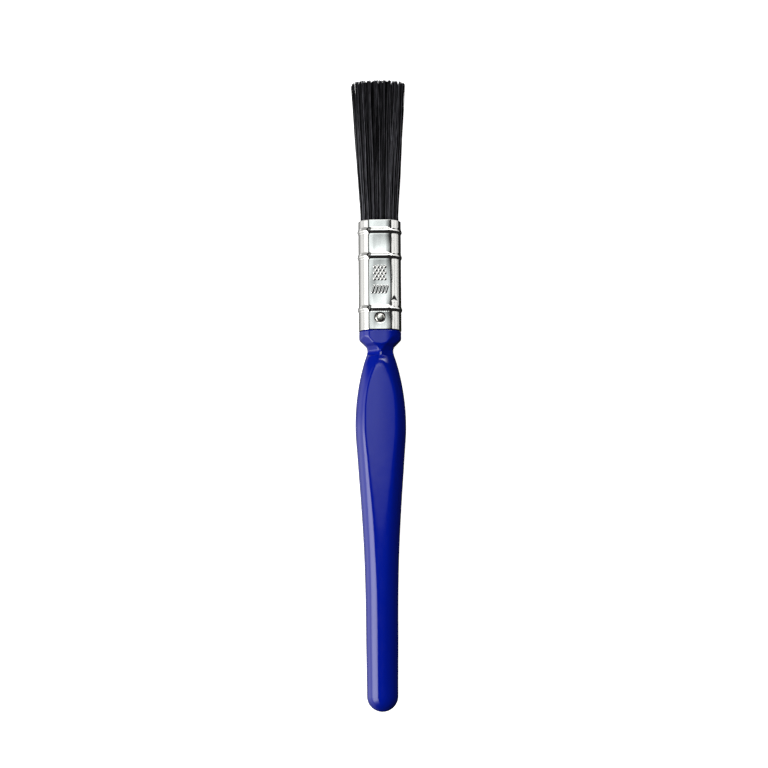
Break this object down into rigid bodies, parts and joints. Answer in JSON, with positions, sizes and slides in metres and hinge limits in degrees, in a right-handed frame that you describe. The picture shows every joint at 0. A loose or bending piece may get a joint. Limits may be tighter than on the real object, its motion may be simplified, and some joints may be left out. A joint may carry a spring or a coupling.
{
  "type": "fine detail brush",
  "caption": "Slim paint brush: a lacquered handle with a swelling flat-sided grip and pinched neck, a beaded metal ferrule nailed to it, and a flaring pack of dark bristles that bend.",
  "frame": {"origin": "middle of the bounding box in plan, on the bench that the brush's back flat rests on", "axes": "+Y along the brush from the end of the handle to the tips of the bristles; +X across its width, to the right when it is seen from the front with the bristles up; +Z out of its front face, up from the bench"},
  "size_m": [0.0164, 0.1892, 0.01],
  "materials": {
    "blue_lacquer": "gloss",
    "nickel_plate": "polished",
    "brad_steel": "satin",
    "setting_resin": "gloss",
    "plug_wood": "matte",
    "bristle_filament": "satin"
  },
  "bodies": {
    "brush": {"handle": "blue_lacquer", "ferrule": "nickel_plate", "resin_setting": "setting_resin", "spacer_plug": "plug_wood", "front_brad": "brad_steel", "back_brad": "brad_steel", "front_bristle_butts": "bristle_filament", "back_bristle_butts": "bristle_filament"},
    "bristle_heel": {"front_heel_lock_1": "bristle_filament", "front_heel_lock_2": "bristle_filament", "front_heel_lock_3": "bristle_filament", "front_heel_lock_4": "bristle_filament", "front_heel_lock_5": "bristle_filament", "front_heel_lock_6": "bristle_filament", "back_heel_lock_1": "bristle_filament", "back_heel_lock_2": "bristle_filament", "back_heel_lock_3": "bristle_filament", "back_heel_lock_4": "bristle_filament", "back_heel_lock_5": "bristle_filament", "back_heel_lock_6": "bristle_filament"},
    "bristle_tips": {"front_tip_lock_1": "bristle_filament", "front_tip_lock_2": "bristle_filament", "front_tip_lock_3": "bristle_filament", "front_tip_lock_4": "bristle_filament", "front_tip_lock_5": "bristle_filament", "front_tip_lock_6": "bristle_filament", "back_tip_lock_1": "bristle_filament", "back_tip_lock_2": "bristle_filament", "back_tip_lock_3": "bristle_filament", "back_tip_lock_4": "bristle_filament", "back_tip_lock_5": "bristle_filament", "back_tip_lock_6": "bristle_filament"}
  },
  "joints": [
    {"name": "bristle_sway", "type": "hinge", "parent": "brush", "child": "bristle_heel", "pos_m": [0, 0.05872, 0.005], "axis": [0, 0, 1], "range_deg": [-20, 20], "stiffness_Nm_per_rad": 0.15, "deforming": ["front_heel_lock_1", "front_heel_lock_2", "front_heel_lock_3", "front_heel_lock_4", "front_heel_lock_5", "front_heel_lock_6", "back_heel_lock_1", "back_heel_lock_2", "back_heel_lock_3", "back_heel_lock_4", "back_heel_lock_5", "back_heel_lock_6"]},
    {"name": "bristle_flex", "type": "hinge", "parent": "bristle_heel", "child": "bristle_tips", "pos_m": [0, 0.07523, 0.005], "axis": [1, 0, 0], "range_deg": [0, 35], "stiffness_Nm_per_rad": 0.05}
  ]
}
